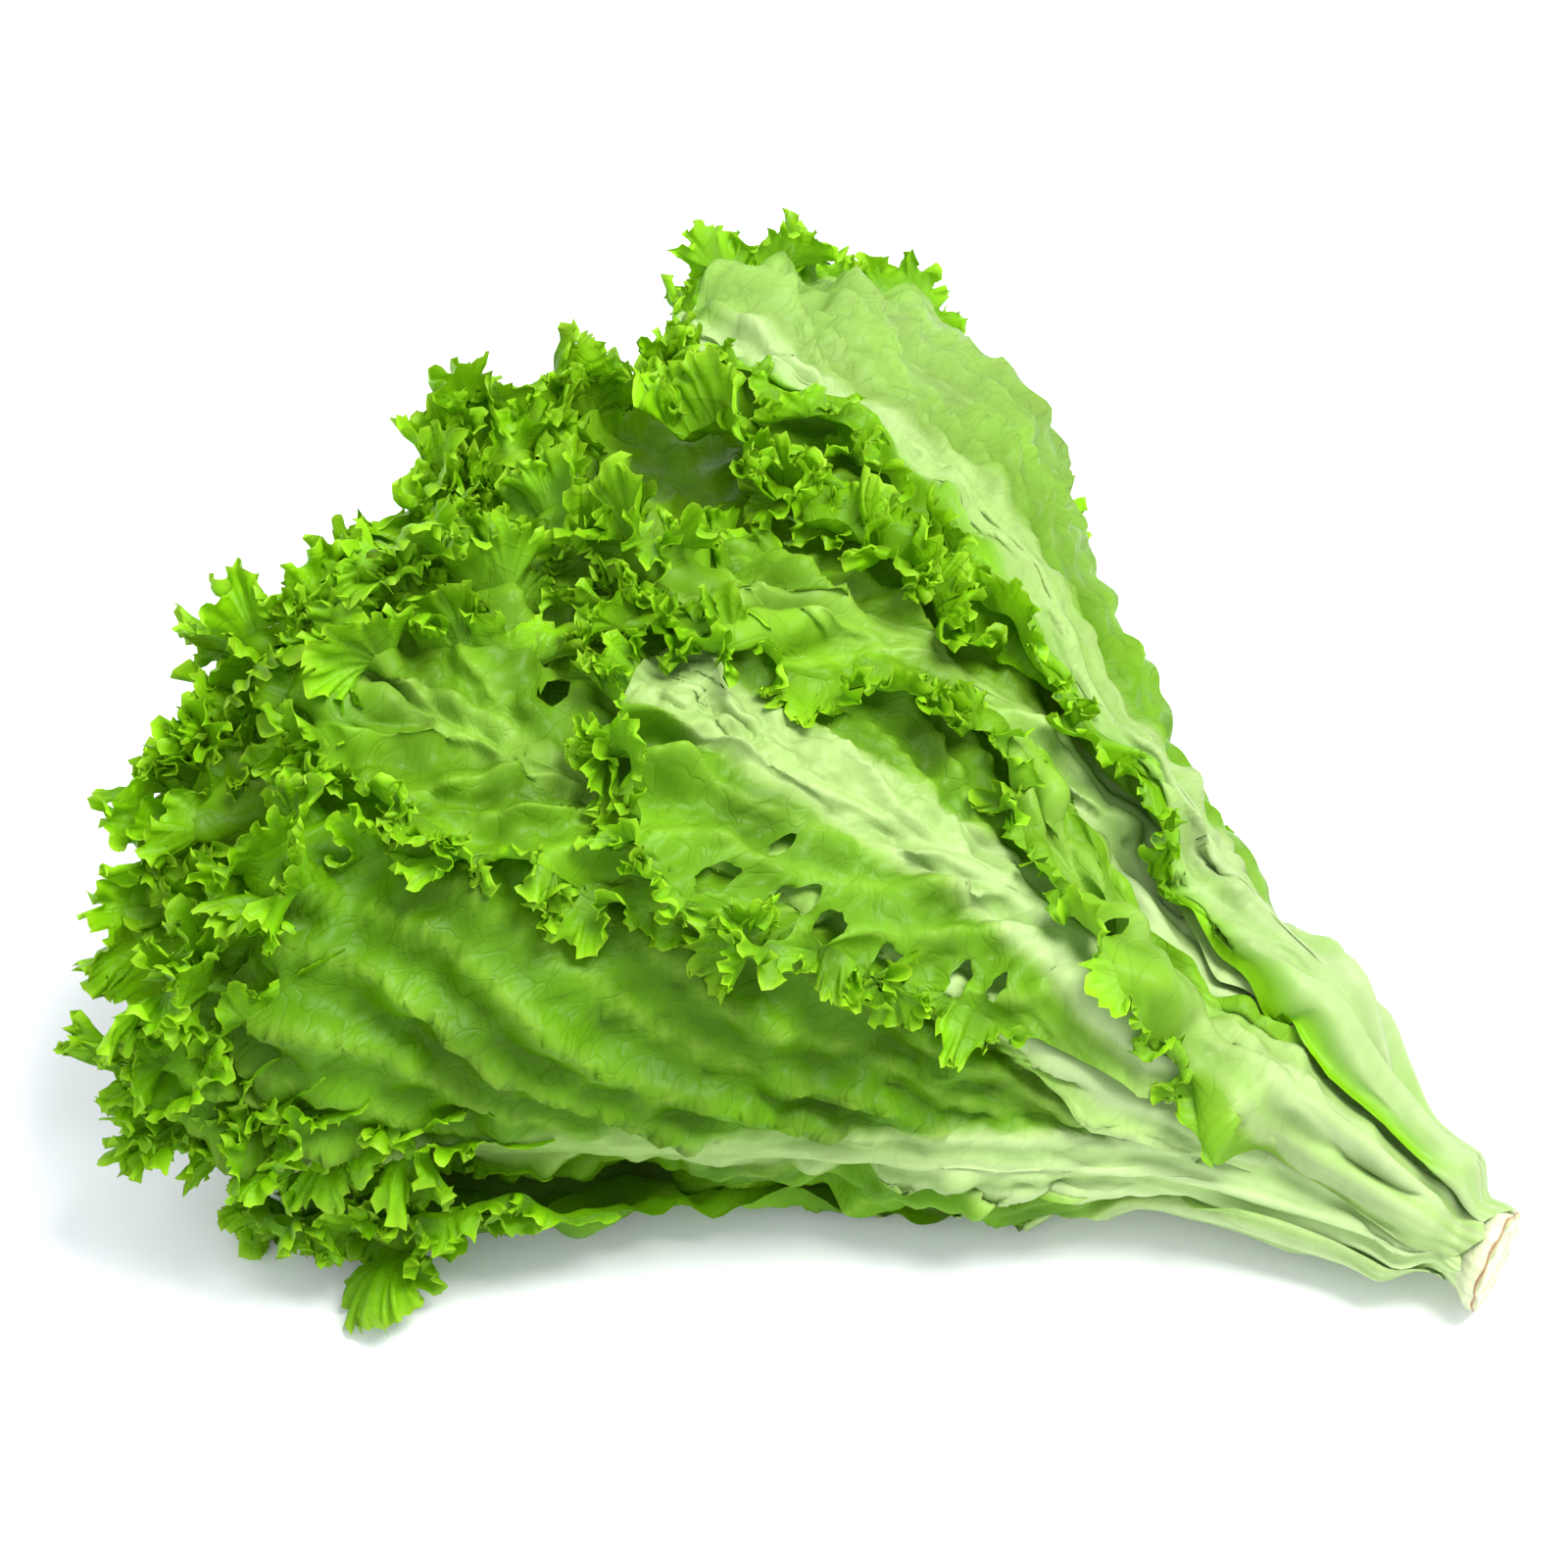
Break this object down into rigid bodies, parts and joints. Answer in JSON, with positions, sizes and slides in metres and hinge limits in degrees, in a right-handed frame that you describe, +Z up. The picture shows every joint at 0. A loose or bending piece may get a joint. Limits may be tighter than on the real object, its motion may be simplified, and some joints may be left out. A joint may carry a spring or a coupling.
{
  "type": "loose-leaf lettuce head",
  "caption": "Loose head of frilly green leaf lettuce, cut at the stem and lying on its side with its leaves fanned out flat, for food and kitchen scenes.",
  "frame": {"origin": "bottom centre of the head's bounding box, on the surface that it lies on", "axes": "+X along the head towards its cut stem, -X towards the leaf tips, -Y towards the side that faces the viewer of the picture, +Z up"},
  "size_m": [0.3, 0.311, 0.1313],
  "materials": {
    "stem": "pale cut stem with a brownish rim round its cut face",
    "heart_leaf": "soft yellow-green leaf, faintly glossy",
    "inner_leaf": "bright green leaf, faintly glossy, light shows through it",
    "outer_leaf": "bright green leaf with a pale midrib, faintly glossy, light shows through it"
  },
  "bodies": {
    "root": {"stem": "stem", "heart_leaf_1": "heart_leaf", "heart_leaf_2": "heart_leaf", "heart_leaf_3": "heart_leaf", "inner_leaf_1": "inner_leaf", "inner_leaf_2": "inner_leaf", "inner_leaf_3": "inner_leaf", "inner_leaf_4": "inner_leaf", "inner_leaf_5": "inner_leaf", "inner_leaf_6": "inner_leaf", "outer_leaf_1": "outer_leaf", "outer_leaf_2": "outer_leaf", "outer_leaf_3": "outer_leaf", "outer_leaf_4": "outer_leaf", "outer_leaf_5": "outer_leaf", "outer_leaf_6": "outer_leaf", "outer_leaf_7": "outer_leaf", "outer_leaf_8": "outer_leaf", "outer_leaf_9": "outer_leaf", "outer_leaf_10": "outer_leaf"}
  },
  "joints": []
}
